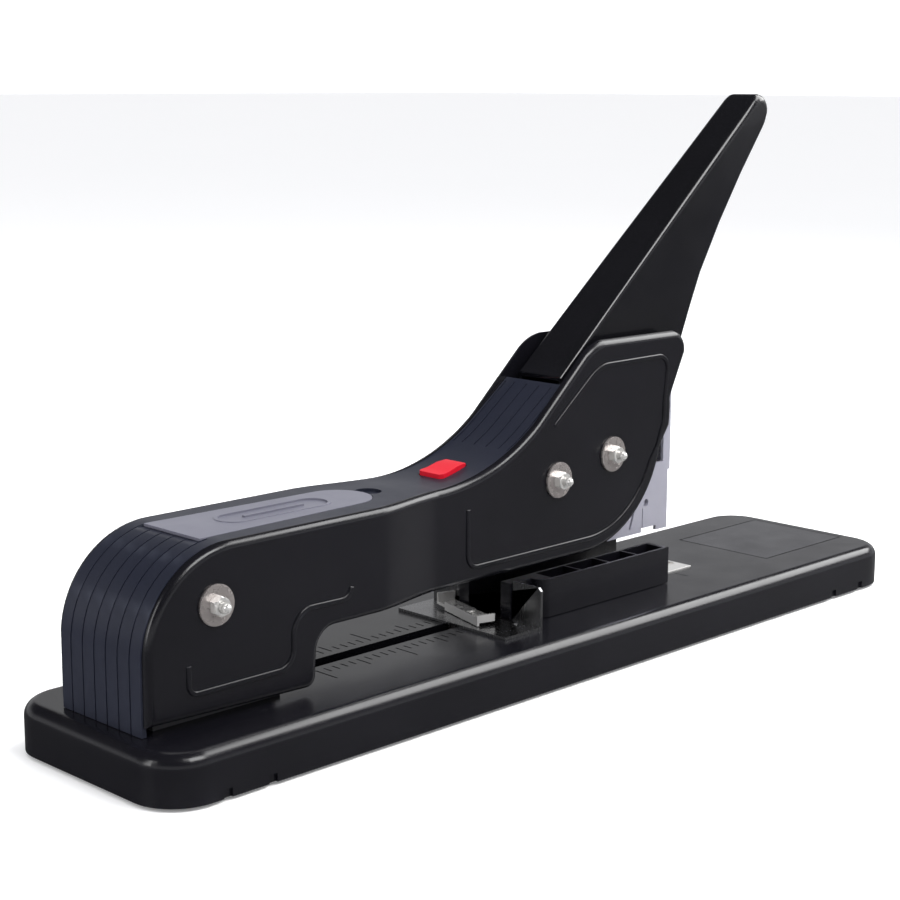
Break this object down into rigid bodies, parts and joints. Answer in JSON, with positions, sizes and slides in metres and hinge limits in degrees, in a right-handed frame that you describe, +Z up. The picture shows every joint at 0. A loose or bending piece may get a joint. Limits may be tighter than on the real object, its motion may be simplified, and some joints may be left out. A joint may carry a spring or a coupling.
{
  "type": "bench stapler",
  "caption": "Long-reach bench stapler with a pressing handle, swinging inner arm, front-loading magazine and sliding depth stop.",
  "frame": {"origin": "on the table below the middle of the base", "axes": "+X runs along the base from the column to the front, +Y across the base, +Z up"},
  "size_m": [0.519, 0.117, 0.2791],
  "materials": {
    "body_black": "glossy moulded shell with a fine moulded skin",
    "handle_paint": "smooth black enamel on bent sheet",
    "cover_plastic": "satin slate plastic",
    "lid_plastic": "smoky satin lid",
    "dark_plastic": "dark moulded plastic",
    "red_plastic": "glossy red push button",
    "bright_chrome": "polished nickel plate",
    "fastener_steel": "plain bright steel",
    "zinc_steel": "zinc plated sheet",
    "spring_steel": "hard drawn wire and hardened strip",
    "staple_wire": "glued strip of galvanised staples",
    "under_plate": "dark painted sheet",
    "foot_rubber": "soft black rubber"
  },
  "bodies": {
    "base": {"base_housing": "body_black", "base_plate": "under_plate", "feet": "foot_rubber", "base_screws": "fastener_steel", "anvil_plate": "bright_chrome", "anvil_screws": "fastener_steel", "column_bracket": "under_plate", "bracket_screws": "fastener_steel", "cheek_near": "body_black", "cheek_far": "body_black", "top_cover": "cover_plastic", "staple_tray": "dark_plastic", "rear_bolt": "bright_chrome", "handle_bolt": "bright_chrome", "guide_bolt": "bright_chrome", "washers": "bright_chrome", "hex_nuts": "bright_chrome", "spacer_tubes": "fastener_steel", "button_spring": "spring_steel", "handle_spring": "spring_steel", "arm_spring": "spring_steel"},
    "lid": {"lid": "lid_plastic"},
    "release_button": {"release_button": "red_plastic"},
    "handle": {"handle": "handle_paint", "drive_pin": "fastener_steel"},
    "inner_arm": {"inner_arm": "zinc_steel", "head_frame": "zinc_steel", "latch_pin": "fastener_steel", "driver_spring": "spring_steel"},
    "release_latch": {"release_latch": "fastener_steel"},
    "driver": {"driver_block": "fastener_steel", "driver_blade": "spring_steel"},
    "magazine": {"magazine_channel": "zinc_steel", "magazine_rail": "fastener_steel", "magazine_front": "zinc_steel", "staple_strip": "staple_wire", "pusher_rod": "fastener_steel"},
    "pusher": {"pusher": "dark_plastic", "pusher_spring": "spring_steel"},
    "depth_stop": {"stop_block": "body_black", "stop_bracket": "bright_chrome", "stop_key": "fastener_steel", "lever_pin": "bright_chrome"},
    "stop_lever": {"stop_lever": "bright_chrome"}
  },
  "joints": [
    {"name": "handle_press", "type": "hinge", "parent": "base", "child": "handle", "pos_m": [0.007, 0, 0.0926], "axis": [0, 1, 0], "range_deg": [0, 30.4], "stiffness_Nm_per_rad": 1.6, "springref_deg": -25.78},
    {"name": "arm_swing", "type": "hinge", "parent": "base", "child": "inner_arm", "pos_m": [-0.213, 0, 0.0738], "axis": [0, 1, 0], "range_deg": [0, 4.3], "deforming": ["arm_spring"]},
    {"name": "driver_travel", "type": "slide", "parent": "inner_arm", "child": "driver", "axis": [0, 0, -1], "range_m": [0, 0.0278], "deforming": ["driver_spring"]},
    {"name": "magazine_pull", "type": "slide", "parent": "inner_arm", "child": "magazine", "axis": [-1, 0, 0], "range_m": [-0.11, 0]},
    {"name": "pusher_slide", "type": "slide", "parent": "magazine", "child": "pusher", "axis": [-1, 0, 0], "range_m": [0, 0.037], "stiffness_N_per_m": 40, "springref_m": -0.06},
    {"name": "button_press", "type": "slide", "parent": "base", "child": "release_button", "axis": [0, 0, -1], "range_m": [0, 0.0019], "stiffness_N_per_m": 700, "springref_m": -0.0015, "deforming": ["button_spring"]},
    {"name": "latch_tilt", "type": "hinge", "parent": "inner_arm", "child": "release_latch", "pos_m": [-0.0486, 0, 0.0763], "axis": [0, 1, 0], "range_deg": [0, 15]},
    {"name": "lid_slide", "type": "slide", "parent": "base", "child": "lid", "axis": [-1, 0, 0], "range_m": [0, 0.075]},
    {"name": "stop_slide", "type": "slide", "parent": "base", "child": "depth_stop", "axis": [-1, 0, 0], "range_m": [0, 0.105]},
    {"name": "stop_lever_turn", "type": "hinge", "parent": "depth_stop", "child": "stop_lever", "pos_m": [-0.031, 0, 0.027], "axis": [0, 0, 1], "range_deg": [0, 30]}
  ],
  "couplings": [
    {"joint": "arm_swing", "follows": "handle_press", "ratio": 0.13816},
    {"joint": "driver_travel", "follows": "handle_press", "m_per_rad": 0.05183},
    {"joint": "latch_tilt", "follows": "button_press", "rad_per_m": 133.2}
  ]
}
